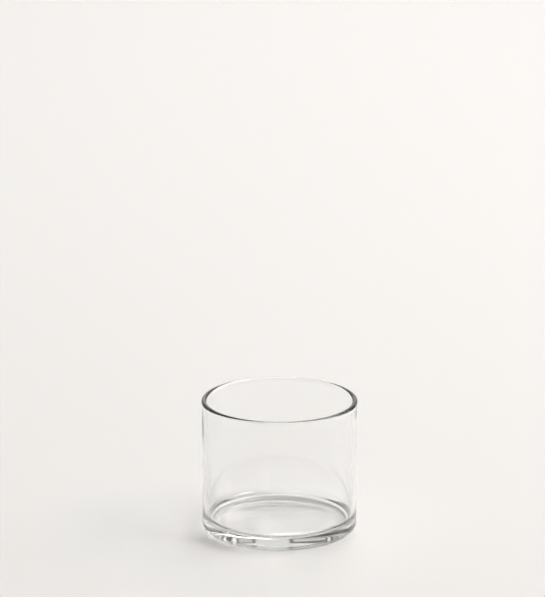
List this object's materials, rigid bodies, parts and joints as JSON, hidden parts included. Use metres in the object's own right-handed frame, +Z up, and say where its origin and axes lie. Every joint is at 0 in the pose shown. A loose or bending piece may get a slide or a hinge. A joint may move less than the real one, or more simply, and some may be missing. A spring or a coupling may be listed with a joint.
{
  "type": "glass cylinder vase",
  "caption": "Squat cylinder vase of clear glass, with a straight wall, a rounded rim and a thick solid base, for cut flowers in water.",
  "frame": {"origin": "centre of the underside, on the surface that the vase stands on", "axes": "+Z up along the axis of the vase, out of its mouth; the vase is round, so +X and +Y have no meaning of their own"},
  "size_m": [0.1278, 0.1278, 0.11],
  "materials": {
    "clear_glass": "clear soda-lime glass, fire-polished, glossy all over"
  },
  "bodies": {
    "root": {"vase_body": "clear_glass"}
  },
  "joints": []
}
